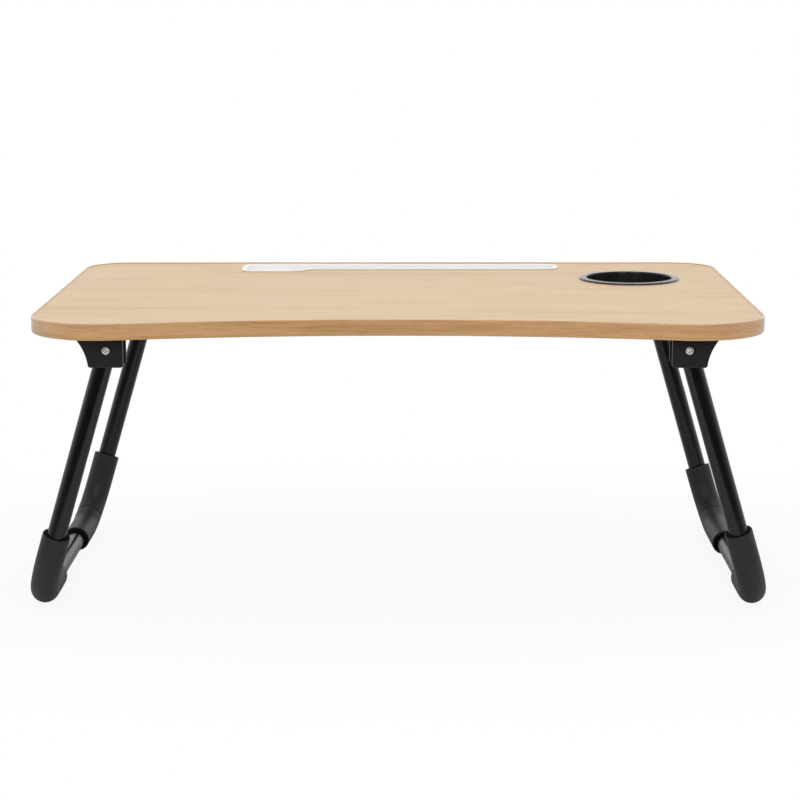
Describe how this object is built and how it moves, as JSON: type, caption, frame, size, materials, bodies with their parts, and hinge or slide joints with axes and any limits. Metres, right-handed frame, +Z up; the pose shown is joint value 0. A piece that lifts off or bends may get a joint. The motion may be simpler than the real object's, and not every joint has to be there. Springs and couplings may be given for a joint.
{
  "type": "folding laptop table",
  "caption": "Low folding laptop table: a wood-look board with a hollow front edge, tablet slot and cup holder, on bent-tube legs that fold flat under it.",
  "frame": {"origin": "on the floor, under the middle of the board", "axes": "+X to the user's right along the board, +Y from the user to the far edge, +Z up"},
  "size_m": [0.6216, 0.4, 0.2514],
  "materials": {
    "board_core": "raw fibreboard",
    "wood_laminate": "satin oak-grain melamine",
    "backing_laminate": "matte melamine",
    "edge_band": "satin oak-grain T-section edging",
    "white_plastic": "satin white moulding",
    "gloss_black_plastic": "polished black moulding",
    "black_plastic": "fine-textured black moulding",
    "zinc_screws": "zinc plated",
    "bright_screws": "bright nickel plated",
    "black_tube": "semi-gloss black powder coat",
    "soft_sleeve": "matte dark grey moulding"
  },
  "bodies": {
    "top": {"core_board": "board_core", "top_laminate": "wood_laminate", "bottom_laminate": "backing_laminate", "edge_band": "edge_band", "slot_tray": "white_plastic", "cup_holder": "gloss_black_plastic", "front_left_bracket": "black_plastic", "front_left_bracket_screws": "zinc_screws", "front_left_pivot_screw": "bright_screws", "front_left_pivot_nut": "zinc_screws", "front_right_bracket": "black_plastic", "front_right_bracket_screws": "zinc_screws", "front_right_pivot_screw": "bright_screws", "front_right_pivot_nut": "zinc_screws", "rear_left_bracket": "black_plastic", "rear_left_bracket_screws": "zinc_screws", "rear_left_pivot_screw": "bright_screws", "rear_left_pivot_nut": "zinc_screws", "rear_right_bracket": "black_plastic", "rear_right_bracket_screws": "zinc_screws", "rear_right_pivot_screw": "bright_screws", "rear_right_pivot_nut": "zinc_screws"},
    "left_leg": {"left_leg_tube": "black_tube", "front_left_tube_plug": "black_plastic", "front_left_sleeve": "soft_sleeve", "rear_left_tube_plug": "black_plastic", "rear_left_sleeve": "soft_sleeve"},
    "right_leg": {"right_leg_tube": "black_tube", "front_right_tube_plug": "black_plastic", "front_right_sleeve": "soft_sleeve", "rear_right_tube_plug": "black_plastic", "rear_right_sleeve": "soft_sleeve"}
  },
  "joints": [
    {"name": "left_leg_fold", "type": "hinge", "parent": "top", "child": "left_leg", "pos_m": [-0.2367, 0, 0.22331], "axis": [0, -1, 0], "range_deg": [0, 106.4]},
    {"name": "right_leg_fold", "type": "hinge", "parent": "top", "child": "right_leg", "pos_m": [0.2367, 0, 0.22331], "axis": [0, 1, 0], "range_deg": [0, 106.4]}
  ]
}
